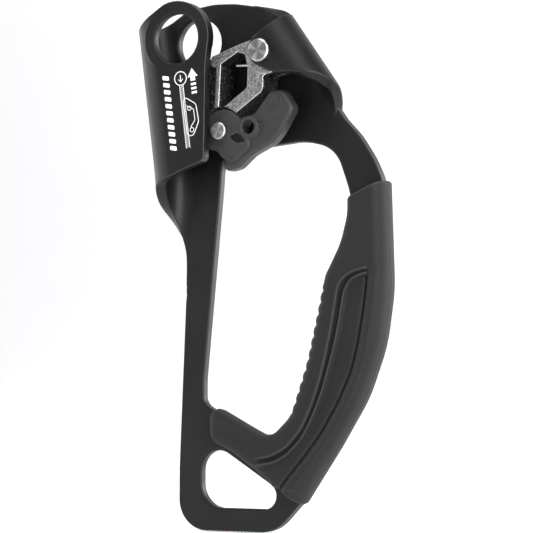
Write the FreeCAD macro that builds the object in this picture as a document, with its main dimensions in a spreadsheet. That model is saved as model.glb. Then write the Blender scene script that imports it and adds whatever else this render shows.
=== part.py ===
import FreeCAD, Part
import math
import os
import Sketcher

# Handled rope ascender (left hand).  Millimetres.
# Axes: X across the tool towards the hand grip, Z up along the rope, Y from the
# front (cam side) to the back.  The origin is the centre of the upper connector
# hole, in the plane of the front face of the back plate.
# A "depth" is a distance in front of that plane, so it lies at y = -depth.
os.makedirs("parts", exist_ok=True)
doc = FreeCAD.newDocument("ascender")
Vector = FreeCAD.Vector

# ---------------------------------------------------------------- driving sizes
# alias, value, note
SIZES = [
    ("plate_thick", 4.0, "sheet thickness of the bent frame"),
    ("channel_gap", 13.5, "clear gap between the two folded walls"),
    ("edge_round", 0.8, "rounding of the sheet's edges"),
    ("connector_rad", 9.2, "radius of the upper connector holes"),
    ("boss_rad", 13.8, "radius of the flap's end around the hole"),
    ("ear_tip_rad", 6.0, "radius of the ear's rounded end"),
    ("pivot_x", 35.3, "cam axle, across"),
    ("pivot_z", -6.75, "cam axle, height"),
    ("axle_rad", 3.0, "cam axle shank"),
    ("axle_head_rad", 4.2, "cam axle head"),
    ("axle_head_tall", 1.8, "cam axle head height"),
    ("axle_bevel", 0.5, "bevel of the cam axle head"),
    ("axle_tail_rad", 4.3, "cam axle closing head"),
    ("axle_tail_tall", 1.4, "cam axle closing head height"),
    ("axle_tail_bevel_tall", 0.6, "height of the closing head's bevel"),
    ("axle_tail_bevel_in", 0.9, "radial depth of the closing head's bevel"),
    ("washer_rad", 5.6, "washer under the closing head"),
    ("washer_thick", 0.8, "washer thickness"),
    ("shank_overlap", 0.5, "reach of a shank into each of its heads"),
    ("run_gap", 0.05, "radial running clearance"),
    ("fit_gap", 0.02, "clearance of fixed shanks and of the grip's cavity faces"),
    ("cam_front", 12.5, "cam front face, distance in front of the back plate"),
    ("cam_back", 0.9, "cam back face, distance in front of the back plate"),
    ("nose_front", 10.6, "toothed block front face"),
    ("nose_back", 2.9, "toothed block back face"),
    ("hub_rad", 6.0, "cam hub"),
    ("collar_rad", 7.9, "polished collar round the hub"),
    ("collar_inset", 0.3, "collar's back face in front of the cam's"),
    ("collar_proud", 0.35, "collar's front face in front of the cam's"),
    ("recess_rad", 9.0, "recess in the cam in which the catch turns"),
    ("recess_floor", 9.3, "floor of that recess"),
    ("catch_x", 16.2, "catch rivet, across"),
    ("catch_z", -34.65, "catch rivet, height"),
    ("rivet_rad", 2.0, "catch rivet shank"),
    ("rivet_head_rad", 3.2, "catch rivet head"),
    ("rivet_head_tall", 1.7, "catch rivet head height"),
    ("rivet_head_lift", 0.02, "gap between the rivet head and the catch"),
    ("rivet_bevel", 0.4, "bevel of the rivet's two heads"),
    ("rivet_tail_rad", 2.9, "catch rivet closing head"),
    ("rivet_tail_tall", 1.2, "catch rivet closing head height"),
    ("rivet_tail_bevel_in", 0.5, "radial depth of its closing head's bevel"),
    ("catch_front", 13.2, "catch front face"),
    ("catch_web", 9.5, "back of the catch's pivot plate"),
    ("catch_back", 7.2, "back of the catch's thumb arm"),
    ("arm_inset", 0.9, "thumb arm's front face behind the catch's"),
    ("ring_x", 28.2, "cord ring in the catch, across"),
    ("ring_z", -33.7, "cord ring in the catch, height"),
    ("ring_rad", 3.9, "cord ring outside"),
    ("ring_hole_rad", 2.6, "cord ring hole"),
    ("ring_inset", 0.6, "cord ring's back face in front of the arm's"),
    ("ring_proud", 0.25, "cord ring's front face in front of the catch's"),
    ("hollow_rad", 4.6, "hollow behind the catch's pivot plate"),
    ("tooth_tall", 1.0, "height of the cam's teeth"),
    ("spring_wire_rad", 0.6, "cam spring wire"),
    ("spring_coil_rad", 4.3, "cam spring mean coil radius"),
    ("spring_pitch", 1.3, "cam spring pitch"),
    ("spring_turns", 3.0, "cam spring turns"),
    ("small_wire_rad", 0.35, "catch spring wire"),
    ("small_coil_rad", 3.6, "catch spring mean coil radius"),
    ("small_spring_lift", 1.1, "catch spring in front of the recess floor"),
    ("grip_front", 5.4, "grip, distance in front of the plate's front face"),
    ("grip_back", 5.4, "grip, distance behind the plate's back face"),
    ("grip_round", 4.2, "rounding of the grip's long edges"),
]
sheet = doc.addObject("Spreadsheet::Sheet", "sizes")
for row, (alias, size, note) in enumerate(SIZES, start=1):
    sheet.set("A%d" % row, note)
    sheet.set("B%d" % row, repr(float(size)))
    sheet.setAlias("B%d" % row, alias)
doc.recompute()


def value(text):
    """Number behind one size, or behind a sum such as "sizes.a + sizes.b"."""
    return sum(float(sheet.get(term.replace("sizes.", ""))) for term in text.split(" + "))


# Places in the XZ plane, as expressions
AXLE_AT = ("sizes.pivot_x", "sizes.pivot_z")
RIVET_AT = ("sizes.catch_x", "sizes.catch_z")
RING_AT = ("sizes.ring_x", "sizes.ring_z")
# y of the flap's front face
FLAP_Y = "-(sizes.channel_gap + sizes.plate_thick)"
# depths clear of the cam and the catch on both sides
CLEAR_FRONT, CLEAR_BACK = "15", "-1"
ALONG_Y = FreeCAD.Rotation(Vector(1, 0, 0), -90)   # turns an object's axis to +Y

thick = value("plate_thick")
gap = value("channel_gap")
r_in = gap / 2.0
r_out = r_in + thick
y_mid = -r_in
y_flap = -(gap + thick)
pivot_x, pivot_z = value("pivot_x"), value("pivot_z")


# ---------------------------------------------------------------- shared tools
def rounded(points):
    """Closed sketch outline of lines and tangent arcs from (x, z[, radius])."""
    corners = []   # start, middle (None if sharp) and end of each corner
    for i, point in enumerate(points):
        before, after = points[i - 1], points[(i + 1) % len(points)]
        radius = point[2] if len(point) > 2 else 0.0
        here = Vector(point[0], point[1], 0)
        to_before = Vector(before[0], before[1], 0) - here
        to_after = Vector(after[0], after[1], 0) - here
        shortest = min(to_before.Length, to_after.Length)
        to_before.normalize()
        to_after.normalize()
        angle = math.acos(max(-1.0, min(1.0, to_before.dot(to_after))))
        if radius <= 0 or angle > math.pi - 1e-3:
            corners.append((here, None, here))
            continue
        tangent = radius / math.tan(angle / 2.0)
        limit = 0.498 * shortest   # neighbouring arcs must not overlap
        if tangent > limit:
            tangent = limit
            radius = tangent * math.tan(angle / 2.0)
        bisector = to_before + to_after
        bisector.normalize()
        centre = here + bisector * (radius / math.sin(angle / 2.0))
        corners.append((here + to_before * tangent, centre - bisector * radius,
                        here + to_after * tangent))
    geometry = []
    for i, (start, middle, end) in enumerate(corners):
        following = corners[(i + 1) % len(corners)][0]
        if middle is not None:
            geometry.append(Part.Arc(start, middle, end))
        if (end - following).Length > 1e-6:
            geometry.append(Part.LineSegment(end, following))
    return geometry


def sketch_on(body, name, geometry, depth):
    """Sketch parallel to the XZ plane at y = -depth."""
    plane = next(f for f in body.Origin.OriginFeatures if f.Role == "XZ_Plane")
    sketch = body.newObject("Sketcher::SketchObject", name)
    sketch.AttachmentSupport = [(plane, "")]
    sketch.MapMode = "FlatFace"
    sketch.setExpression(".AttachmentOffset.Base.z", depth)
    for item in geometry:
        sketch.addGeometry(item, False)
    doc.recompute()
    return sketch


def pad(body, name, geometry, back, front):
    """Adds material from depth back to depth front (expressions)."""
    feature = body.newObject("PartDesign::Pad", name) if False else None
    sketch = sketch_on(body, name + "_sketch", geometry, back)
    feature = body.newObject("PartDesign::Pad", name)
    feature.Profile = sketch
    feature.setExpression("Length", "(%s) - (%s)" % (front, back))
    doc.recompute()
    return feature


def pocket(body, name, geometry, front, back):
    """Removes material from depth front to depth back (expressions)."""
    remaining = body.Shape.Volume - 1e-3
    sketch = sketch_on(body, name + "_sketch", geometry, front)
    feature = body.newObject("PartDesign::Pocket", name)
    feature.Profile = sketch
    feature.setExpression("Length", "(%s) - (%s)" % (front, back))
    doc.recompute()
    if not feature.Shape.Volume < remaining:
        feature.Reversed = True
        doc.recompute()
    if not feature.Shape.Volume < remaining:
        raise RuntimeError("pocket %s cuts nothing" % name)
    return feature


def round_feature(make, body, name, place, radius, start, end):
    """Pad or pocket of a circle whose centre and radius follow the sheet."""
    x, z, size = value(place[0]), value(place[1]), value(radius)
    make(body, name, [Part.Circle(Vector(x, z, 0), Vector(0, 0, 1), size)], start, end)
    sketch = doc.getObject(name + "_sketch")
    for constraint, expression in (
            (Sketcher.Constraint("Radius", 0, size), radius),
            (Sketcher.Constraint("DistanceX", -1, 1, 0, 3, x), place[0]),
            (Sketcher.Constraint("DistanceY", -1, 1, 0, 3, z), place[1])):
        index = sketch.addConstraint(constraint)
        sketch.setExpression("Constraints[%d]" % index, expression)
    doc.recompute()


def prism(name, points, front, length):
    """Extrusion of a rounded outline along +Y from y = -front."""
    outline = doc.addObject("Sketcher::SketchObject", name + "_outline")
    outline.Placement = FreeCAD.Placement(Vector(0, 0, 0),
                                          FreeCAD.Rotation(Vector(1, 0, 0), 90))
    for item in rounded(points):
        outline.addGeometry(item, False)
    outline.setExpression(".Placement.Base.y", "-(%s)" % front)
    extrusion = doc.addObject("Part::Extrusion", name)
    extrusion.Base = outline
    extrusion.DirMode = "Custom"
    extrusion.Dir = Vector(0, 1, 0)
    extrusion.Solid = True
    extrusion.setExpression("LengthFwd", length)
    doc.recompute()
    return extrusion


def place_on_y(item, place, y):
    """Turns an object's axis to +Y and binds its position."""
    item.Placement = FreeCAD.Placement(Vector(0, 0, 0), ALONG_Y)
    for axis, expression in zip("xyz", (place[0], y, place[1])):
        item.setExpression(".Placement.Base." + axis, expression)
    return item


def cylinder(name, place, y, radius, height):
    item = doc.addObject("Part::Cylinder", name)
    item.setExpression("Radius", radius)
    item.setExpression("Height", height)
    return place_on_y(item, place, y)


def cone(name, place, y, front_radius, height, back_radius):
    item = doc.addObject("Part::Cone", name)
    item.setExpression("Radius1", front_radius)
    item.setExpression("Radius2", back_radius)
    item.setExpression("Height", height)
    return place_on_y(item, place, y)


def fuse(name, items, refine=False):
    union = doc.addObject("Part::MultiFuse", name)
    union.Shapes = items
    if refine:
        union.Refine = True
    return union


def cut(name, base, tool):
    difference = doc.addObject("Part::Cut", name)
    difference.Base = base
    difference.Tool = tool
    return difference


def fixed_shape(name, shape):
    item = doc.addObject("Part::Feature", name)
    item.Shape = shape
    return item


def largest_solid(shape):
    return max(shape.Solids, key=lambda solid: solid.Volume)


def edges_facing_y(feature, y=None):
    """Names of the edges that lie square to Y, or only of those at y."""
    names = []
    for number, edge in enumerate(feature.Shape.Edges, start=1):
        box = edge.BoundBox
        if box.YLength < 0.01 and (y is None or abs(box.YMin - y) < 0.01):
            names.append("Edge%d" % number)
    return names


def is_sound(feature):
    return ("Invalid" not in feature.State and not feature.Shape.isNull()
            and feature.Shape.isValid())


def use_first_radius(fillet, radii):
    """Sets the first radius that gives a sound fillet; False if none does."""
    for radius in radii:
        fillet.Radius = radius
        doc.recompute()
        if is_sound(fillet):
            return True
    return False


# ---------------------------------------------------------------- fold geometry
BEND_FLAT = 1.5      # flats at both ends of a bend's section
WALL_OVERLAP = 0.7   # how far the flat walls run on from the bend lines


def bend_section(origin, inward):
    """Half-ring section of the sheet with short flats, bulging away from inward."""
    def at(across, y):
        return origin + inward * across + Vector(0, y, 0)
    return Part.Wire([
        Part.makeLine(at(BEND_FLAT, 0), at(0, 0)),
        Part.Arc(at(0, 0), at(-r_in, y_mid), at(0, -gap)).toShape(),
        Part.makeLine(at(0, -gap), at(BEND_FLAT, -gap)),
        Part.makeLine(at(BEND_FLAT, -gap), at(BEND_FLAT, y_flap)),
        Part.makeLine(at(BEND_FLAT, y_flap), at(0, y_flap)),
        Part.Arc(at(0, y_flap), at(-r_out, y_mid), at(0, thick)).toShape(),
        Part.makeLine(at(0, thick), at(BEND_FLAT, thick)),
        Part.makeLine(at(BEND_FLAT, thick), at(BEND_FLAT, 0)),
    ])


def ruled_cutter(inner_points, outer_points, sweep):
    """Solid swept from a ruled surface between two lines of points.  Both lines
    share their parameters, so each ruling is square to the sheet."""
    marks = [0.0]
    for k in range(1, len(inner_points)):
        step = 0.5 * ((inner_points[k] - inner_points[k - 1]).Length
                      + (outer_points[k] - outer_points[k - 1]).Length)
        marks.append(marks[-1] + step)
    marks = [mark / marks[-1] for mark in marks]
    inner, outer = Part.BSplineCurve(), Part.BSplineCurve()
    inner.interpolate(Points=inner_points, Parameters=marks)
    outer.interpolate(Points=outer_points, Parameters=marks)
    surface = Part.BSplineSurface()
    surface.buildFromPolesMultsKnots(
        [inner.getPoles(), outer.getPoles()], [2, 2], inner.getMultiplicities(),
        [0.0, 1.0], inner.getKnots(), False, False, 1, inner.Degree)
    return surface.toShape().extrude(sweep)


def edge_cutter(back_flat, bend, front_flat, point, bend_line, outward, margins, sweep):
    """Trims a fold square to its faces.  The flats are (across, along), the bend
    is (angle from the back plate, along); point(across, along, y) places them.
    margins are the cutter's reach past the inner and outer faces."""
    lines = []
    for radius in (r_in - margins[0], r_out + margins[1]):
        line = [point(across, along, y_mid + radius) for across, along in back_flat]
        for angle, along in bend:
            sine, cosine = math.sin(math.radians(angle)), math.cos(math.radians(angle))
            line.append(point(bend_line(along) + outward * radius * sine, along,
                              y_mid + radius * cosine))
        line += [point(across, along, y_mid - radius) for across, along in front_flat]
        lines.append(line)
    return ruled_cutter(lines[0], lines[1], sweep)


# Left fold: the edge is folded forward by 180 degrees round the rope channel.
# The fold line leans 7.5 degrees and runs out into the flat strut.
LEAN = 0.1315        # x per unit of height
FOLD_TOP = 26
FOLD_STRAIGHT_END = -46


def fold_x(z):
    return -9.1 - LEAN * z


# x, z of the fold line below its straight part
RUN_OUT = [(fold_x(FOLD_STRAIGHT_END), FOLD_STRAIGHT_END), (-2.45, -52), (-2.35, -58),
           (-2.75, -65), (-3.5, -72), (-4.55, -80), (-5.9, -90)]
run_out_start = Vector(LEAN, 0, -1)
run_out_start.normalize()
run_out_end = Vector(-0.14, 0, -1)
run_out_end.normalize()
run_out_curve = Part.BSplineCurve()
run_out_curve.interpolate(Points=[Vector(x, 0, z) for x, z in RUN_OUT],
                          InitialTangent=run_out_start, FinalTangent=run_out_end)


def path_x(z):
    """x of the left fold line at height z."""
    if z >= FOLD_STRAIGHT_END:
        return fold_x(z)
    low, high = run_out_curve.FirstParameter, run_out_curve.LastParameter
    for _ in range(50):
        middle = 0.5 * (low + high)
        if run_out_curve.value(middle).z > z:
            low = middle
        else:
            high = middle
    return run_out_curve.value(0.5 * (low + high)).x


# Lower edge of the left fold
LEFT_LOW_BACK = [(-5.45, -94)]   # x, z on the strut
# angle from the back plate round the fold, z
LEFT_LOW = [
    (0.0, -87.6), (6.4, -81.3), (13, -77.5), (23, -74.0), (34, -70.9),
    (45, -68.0), (58, -65.2), (75, -62.3), (91, -59.7), (105, -57.2),
    (118, -55.1), (133, -53.4), (150, -52.3), (165, -51.5), (180, -50.7),
]
LEFT_LOW_FRONT = [(0.6, -49.45), (4.7, -47.9), (8.6, -46.55), (14.0, -44.7)]   # x, z on the flap
# x, z of the region cut off above the left fold's slanting top edge
LEFT_TOP_CUT = [(-34, -5.1), (8, 21.4), (8, 40), (-34, 40)]

# Right fold: the upper right corner is folded forward as an ear over the cam
# axle.  "along" runs down the fold line, "across" square to it, up and right.
EAR_ORIGIN = Vector(32.51, 0, 2.09)
EAR_ALONG = Vector(0.5815, 0, -0.8135)
EAR_ALONG.normalize()
EAR_ACROSS = Vector(-EAR_ALONG.z, 0, EAR_ALONG.x)


def ear_point(across, along, y):
    return EAR_ORIGIN + EAR_ACROSS * across + EAR_ALONG * along + Vector(0, y, 0)


def ear_xz(across, along, radius=0.0):
    """Outline point in the ear's directions."""
    point = ear_point(across, along, 0)
    return (point.x, point.z, radius)


# angle from the back plate round the fold, distance along the fold line
EAR_TOP = [
    (0, -12.7), (6, -11.8), (23, -8.6), (41, -5.3), (54, -2.7), (66, -0.6),
    (80, 0.6), (96, 1.1), (109, 1.4), (135, 2.05), (156, 2.45), (180, 2.75),
]
EAR_LOW = [
    (0, 41.6), (12, 40.4), (25, 38.9), (40, 37.0), (58, 34.9), (67.5, 33.9), (75, 33.3),
    (90, 32.5), (96, 32.0), (109, 30.5), (123, 28.5), (145, 26.0), (165, 23.0), (180, 21.1),
]
EAR_START, EAR_LENGTH = -17, 63   # untrimmed bend, along the fold line

# ---------------------------------------------------------------- frame outlines
# All outlines: x, z, corner radius.
BACK_OUTLINE = [
    # top edge, left to right
    (fold_x(11) + WALL_OVERLAP, 10.0), (-5.2, 13.05, 9), (6.0, 14.5, 25), (15.0, 14.05, 30),
    (20.4, 13.1), ear_xz(-WALL_OVERLAP, -13.05),
    # along the right fold, then the bare upper part of the handle
    ear_xz(-WALL_OVERLAP, 36.5), (57.4, -26.6), (60.6, -31.2, 12),
    (66.2, -37.0, 30), (72.4, -46.2, 40), (77.0, -56.5, 40),
    # outer edge inside the grip
    (76.8, -75.0, 60), (75.4, -97.0, 60), (70.2, -117.0, 60), (60.5, -136.0, 60),
    (50.0, -152.0, 60), (43.3, -169.6, 8),
    # lower end and the strut's left edge
    (32.0, -181.2, 14), (-8.65, -181.2, 23.0), (-8.45, -158.0, 60), (-5.28, -86.0),
] + [   # up along the run-out of the left fold
    (path_x(z) + WALL_OVERLAP, z) for z in (-80.0, -72.0, -65.0, -58.0, -52.0, -46.0)
]
FINGER_HOLE = [
    (8.9, -54.5, 12), (9.8, -42.2, 11), (28.0, -40.0, 60), (44.0, -38.5, 24),
    (56.8, -41.6, 16), (63.4, -60.0, 30), (62.5, -76.0, 20), (55.4, -90.0, 40),
    (51.0, -113.0, 60), (42.5, -138.0, 18), (33.5, -149.2, 14),
    (20.0, -145.6, 30), (6.5, -136.8, 10), (1.9, -134.2, 4.5), (1.75, -126.0, 60),
]
LOWER_EYE = [(1.0, -145.6, 7.4), (44.5, -172.7, 4.9), (1.0, -172.7, 9.0)]
FLAP_OUTLINE = [
    (fold_x(9.6) + WALL_OVERLAP, 10.2), (-7.5, 11.57), (0.0, 6.0), (13.7, -1.2),
    (12.5, -9.5, 30), (12.0, -40.0), (11.8, -53.0), (-1.9, -53.0),
    (fold_x(FOLD_STRAIGHT_END) + WALL_OVERLAP, -46.0),
]
EAR_OUTLINE = [
    ear_xz(-WALL_OVERLAP, 2.76), ear_xz(-2.0, 2.8), ear_xz(-7.5, 11.2), ear_xz(-5.9, 14.4, 6),
    ear_xz(-4.3, 17.2, 6), ear_xz(-1.9, 19.95), ear_xz(-WALL_OVERLAP, 20.75),
]
# bounds the ear's rounded end to the flat side of the bend
EAR_LIMIT = [ear_xz(-WALL_OVERLAP, -2.0), ear_xz(-WALL_OVERLAP, 20.0),
             ear_xz(-12.0, 20.0), ear_xz(-12.0, -2.0)]
EAR_TIP_CENTRE = (-2.0, 8.8)                 # across, along
FLAP_CORNER_XZ = (11.85, -45.4)              # lower right corner of the flap
FLAP_CORNER_RAD = 2.4


# ---------------------------------------------------------------- frame
def left_fold():
    """Left bend with its top trimmed."""
    straight = Part.makeLine(Vector(fold_x(FOLD_TOP), 0, FOLD_TOP),
                             Vector(fold_x(FOLD_STRAIGHT_END), 0, FOLD_STRAIGHT_END))
    path = Part.Wire([straight, run_out_curve.toShape()])
    inward = Vector(1, 0, LEAN)
    inward.normalize()
    section = bend_section(Vector(fold_x(FOLD_TOP), 0, FOLD_TOP), inward)
    bend = path.makePipeShell([section], True, False)
    corners = [Vector(x, -30, z) for x, z in LEFT_TOP_CUT + LEFT_TOP_CUT[:1]]
    top_cut = Part.Face(Part.makePolygon(corners)).extrude(Vector(0, 60, 0))
    return fixed_shape("frame_left_fold", largest_solid(bend.cut([top_cut])))


def left_fold_trim():
    """Cutter for the lower edge of the left fold, from the strut to the flap."""
    cutter = edge_cutter(
        LEFT_LOW_BACK, LEFT_LOW, LEFT_LOW_FRONT,
        point=lambda x, z, y: Vector(x, y, z), bend_line=path_x, outward=-1,
        margins=(1.6, 1.6), sweep=Vector(-7.2, 0, -60))
    if cutter.Volume < 0:
        cutter.reverse()
    return fixed_shape("frame_fold_trim", cutter)


def right_fold():
    section = bend_section(ear_point(0, EAR_START, 0), EAR_ACROSS * -1.0)
    bend = Part.Face(section).extrude(EAR_ALONG * EAR_LENGTH)
    cutters = [
        edge_cutter(back_flat, table, front_flat, point=ear_point,
                    bend_line=lambda along: 0.0, outward=1,
                    margins=(2.75, 2.25), sweep=EAR_ALONG * reach)
        for back_flat, table, front_flat, reach in (
            ([(-3.0, -15.9)], EAR_TOP, [(-2.5, 2.8)], -40),
            ([(-3.0, 43.2)], EAR_LOW, [(-2.2, 19.7)], 40))]
    return fixed_shape("frame_right_fold", largest_solid(bend.cut(cutters)))


def frame_blank(handle_openings):
    """Folded sheet with all its openings, edges still sharp."""
    wall_front = "sizes.channel_gap + sizes.plate_thick"
    left = left_fold()
    trim = left_fold_trim()
    right = right_fold()
    back_wall = prism("frame_back_wall", BACK_OUTLINE, "0", "sizes.plate_thick")
    flap_wall = prism("frame_flap_wall", FLAP_OUTLINE, wall_front, "sizes.plate_thick")
    flap_boss = cylinder("frame_flap_boss", ("0", "0"), FLAP_Y,
                         "sizes.boss_rad", "sizes.plate_thick")
    ear_wall = prism("frame_ear_wall", EAR_OUTLINE, wall_front, "sizes.plate_thick")
    tip = ear_point(EAR_TIP_CENTRE[0], EAR_TIP_CENTRE[1], 0)
    ear_tip = cylinder("frame_ear_tip", (repr(tip.x), repr(tip.z)), FLAP_Y,
                       "sizes.ear_tip_rad", "sizes.plate_thick")
    ear_limit = prism("frame_ear_limit", EAR_LIMIT, wall_front + " + 1",
                      "sizes.plate_thick + 2")
    ear_end = doc.addObject("Part::MultiCommon", "frame_ear_end")
    ear_end.Shapes = [ear_tip, ear_limit]

    folded = fuse("frame_folded_left", [back_wall, left, flap_wall])
    trimmed = cut("frame_trimmed_left", folded, trim)
    solid = fuse("frame_sheet", [trimmed, right, flap_boss, ear_wall, ear_end], refine=True)
    connector_hole = cylinder("frame_connector_hole", ("0", "0"), "-30",
                              "sizes.connector_rad", "60")
    axle_hole = cylinder("frame_axle_hole", AXLE_AT, "-30",
                         "sizes.axle_rad + sizes.fit_gap", "60")
    openings = fuse("frame_openings", [connector_hole, axle_hole] + handle_openings)
    blank = cut("frame_cut", solid, openings)
    blank.Refine = True
    doc.recompute()
    return blank.Shape.Solids[0]


def fillet_solid(base, edges, radius):
    """Filleted solid, or None if the fillet gives no single valid solid."""
    # guards against edges that the kernel cannot round at this radius
    try:
        result = base.makeFillet(radius, edges)
    except Exception:
        return None
    if result.isNull() or not result.isValid() or len(result.Solids) != 1:
        return None
    return result.Solids[0]


def round_flap_corner(shape):
    centre = Vector(FLAP_CORNER_XZ[0], 0.5 * (y_flap - gap), FLAP_CORNER_XZ[1])
    corner = [edge for edge in shape.Edges
              if (edge.CenterOfMass - centre).Length < 1.2 and edge.BoundBox.YLength > 3.5]
    result = fillet_solid(shape, corner, FLAP_CORNER_RAD) if corner else None
    return shape if result is None else result


def is_rim(shape, edge):
    """Edge where two faces meet at about 90 degrees."""
    if edge.Length < 0.6:
        return False
    faces = shape.ancestorsOfType(edge, Part.Face)
    if len(faces) != 2:
        return False
    point = edge.valueAt(0.5 * (edge.FirstParameter + edge.LastParameter))
    normals = [face.normalAt(*face.Surface.parameter(point)) for face in faces]
    return abs(normals[0].dot(normals[1])) < 0.35


def is_near_axle(edge):
    box = edge.BoundBox
    return (math.hypot(box.Center.x - pivot_x, box.Center.z - pivot_z) < 1.0
            and box.DiagonalLength < 12)


def is_across_sheet(edge):
    """Short edge through the sheet's thickness."""
    return edge.Length < 4.6 and edge.BoundBox.YLength > 0.55 * edge.Length


def edge_key(edge):
    """Identifies an edge again after other edges have been rounded."""
    centre = edge.CenterOfMass
    return (round(centre.x, 2), round(centre.y, 2), round(centre.z, 2),
            round(edge.Length, 2))


def round_keys(base, keys, radii):
    """Rounds the edges with these keys at the first radius that works, or None."""
    edges = [edge for edge in base.Edges if edge_key(edge) in keys]
    if not edges:
        return None
    for radius in radii:
        result = fillet_solid(base, edges, radius)
        if result is not None and 0.93 * base.Volume < result.Volume < base.Volume:
            return result
    return None


def chains(edges):
    """Groups edges that share end points."""
    groups = []   # [edges, end points]
    for edge in edges:
        ends = [vertex.Point for vertex in edge.Vertexes]
        touching = [group for group in groups
                    if any((p - q).Length < 1e-4 for q in group[1] for p in ends)]
        merged = [[edge], list(ends)]
        for group in touching:
            merged[0] += group[0]
            merged[1] += group[1]
            groups.remove(group)
        groups.append(merged)
    return [group[0] for group in groups]


def round_rims(shape):
    """Rounds the sheet's rims all at once; failing that chain by chain, and a
    chain that fails edge by edge, longest first."""
    rims = [edge for edge in shape.Edges if is_rim(shape, edge)
            and not is_near_axle(edge) and not is_across_sheet(edge)]
    radius = value("edge_round")
    whole = round_keys(shape, {edge_key(edge) for edge in rims}, (radius,))
    if whole is not None:
        return whole
    for chain in sorted(chains(rims), key=lambda edges: -sum(e.Length for e in edges)):
        result = round_keys(shape, {edge_key(edge) for edge in chain}, (radius, 0.5, 0.3))
        if result is not None:
            shape = result
            continue
        for edge in sorted(chain, key=lambda item: -item.Length):
            result = round_keys(shape, {edge_key(edge)}, (radius, 0.3))
            if result is not None:
                shape = result
    return shape


def build_frame(handle_openings):
    blank = frame_blank(handle_openings)
    return fixed_shape("frame", round_rims(round_flap_corner(blank)))


# ---------------------------------------------------------------- grip
GRIP_OUTLINE = [
    (62.1, -60.7), (77.4, -53.7, 2.0), (77.9, -75.0, 60), (78.5, -93.0, 60), (75.6, -113.0, 60),
    (68.6, -132.0, 60), (57.0, -150.5, 80), (43.6, -170.0, 3.0), (39.3, -172.3, 3.0),
    (32.9, -164.6, 6.0), (26.5, -158.8, 30), (13.0, -150.2, 20), (5.2, -148.8, 3.0),
    (4.6, -139.6, 3.5), (9.5, -136.9, 4.0), (20.0, -142.5, 30), (29.8, -147.6, 11.0),
    (39.6, -138.0, 14.0), (46.2, -119.0, 60), (51.0, -99.0, 30), (53.4, -87.6, 5.0),
    (59.6, -76.0, 30), (62.4, -66.0, 20),
]


def build_grip(handle_openings):
    """Rubber moulded round the handle, with a cavity that holds the frame."""
    body = doc.addObject("PartDesign::Body", "grip_blank")
    section = pad(body, "grip_section", rounded(GRIP_OUTLINE),
                  "-(sizes.plate_thick + sizes.grip_back)", "sizes.grip_front")
    fillet = body.newObject("PartDesign::Fillet", "grip_rounding")
    fillet.Base = (section, edges_facing_y(section))
    fillet.setExpression("Radius", "sizes.grip_round")
    doc.recompute()
    # falls back to a smaller radius if the full rounding does not fit
    if not is_sound(fillet):
        fillet.setExpression("Radius", None)
        use_first_radius(fillet, (3.5, 3.0, 2.5, 2.0, 1.5))
    core = prism("handle_core", BACK_OUTLINE, "sizes.fit_gap",
                 "sizes.plate_thick + 2 * sizes.fit_gap")
    openings = fuse("handle_core_openings", handle_openings)
    grip = cut("grip", body, cut("handle_core_cut", core, openings))
    doc.recompute()
    return grip


# ---------------------------------------------------------------- cam
# Toothed face: degrees below the leftward horizontal, radius from the axle.
# The radius grows downward, so the load wedges it shut.
CAM_FACE = [(3.5, 45.5), (10, 46.6), (16, 47.7), (22, 48.9), (28, 50.1), (33, 50.9)]
CAM_FACE_STATIONS = (5.0, 9, 13, 18, 23, 28, 33)   # degrees
# the rest of the toothed block, from the face's lower end round to its upper end
BLOCK_REST = [
    (2.0, -37.6, 8), (9.5, -39.4, 4), (16.2, -40.45, 6), (22.2, -36.0, 5.5),
    (21.6, -28.7, 1), (15.6, -26.4), (15.6, -9.4), (12.9, -7.1),
    (7.0, -9.3), (0.0, -10.3),
]
# hub, top arm, bar and lower arm round the window
RIMS = [
    (pivot_x + 2.0, pivot_z + 5.8, 2.0), (30.2, -1.55, 3), (22.6, -3.7), (12.4, -7.15, 0.8),
    (12.2, -10.3, 0.3), (14.5, -11.3, 0.5), (13.7, -26.0, 1.2), (15.2, -28.0, 1.0),
    (21.4, -29.0, 0.5), (28.2, -24.4), (33.0, -21.2, 1.2), (33.9, -19.6, 1.0),
    (33.9, -15.4, 0.6), (36.5, -14.0, 1.5), (pivot_x + 4.8, pivot_z - 4.0, 2.0),
]
WINDOW = [
    (16.3, -10.0, 0.6), (23.3, -5.9, 1.2), (26.3, -6.9, 1.6), (27.6, -11.4, 4),
    (27.3, -19.3, 1.6), (16.4, -26.7, 0.7), (15.4, -25.8, 0.5),
]
# slot in the hub for the spring coil, open to the window and downward
SPRING_SLOT = [
    (pivot_x + 2.5, pivot_z + 5.2, 5.0), (pivot_x - 5.3, pivot_z + 5.2, 5.0),
    (pivot_x - 5.3, pivot_z - 0.6), (25.5, pivot_z - 0.6), (25.5, pivot_z - 5.6),
    (pivot_x - 4.5, pivot_z - 5.6), (pivot_x - 1.0, pivot_z - 9.5),
    (pivot_x + 9.0, pivot_z - 12.0), (pivot_x + 5.3, pivot_z - 3.0, 3),
    (pivot_x + 5.3, pivot_z + 2.0, 4),
]
SLOT_FRONT, SLOT_BACK = "9.9", "3.9"   # depths
COLLAR_ANGLES = (100, 200, 300)        # start, middle and end of the collar's arc
TOOTH_ROWS = [("9.9", "8.7"), ("8.4", "7.2"), ("6.9", "5.7"), ("5.4", "4.2"),
              ("3.95", "3.0")]         # front and back depth
TOOTH_PITCH = 2.45                     # degrees
TOOTH_FIRST, TOOTH_LIMIT = 6.5, 31.5   # degrees
TOOTH_TIP, TOOTH_FOOT = 0.62, 0.86     # tip and lower foot, in pitches
TOOTH_ROOT_DEPTH = 2.5                 # how far a row reaches into the block


def polar(radius, below):
    """Point at radius from the axle, below degrees under the leftward horizontal."""
    angle = math.radians(below)
    return (pivot_x - radius * math.cos(angle), pivot_z - radius * math.sin(angle))


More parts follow.
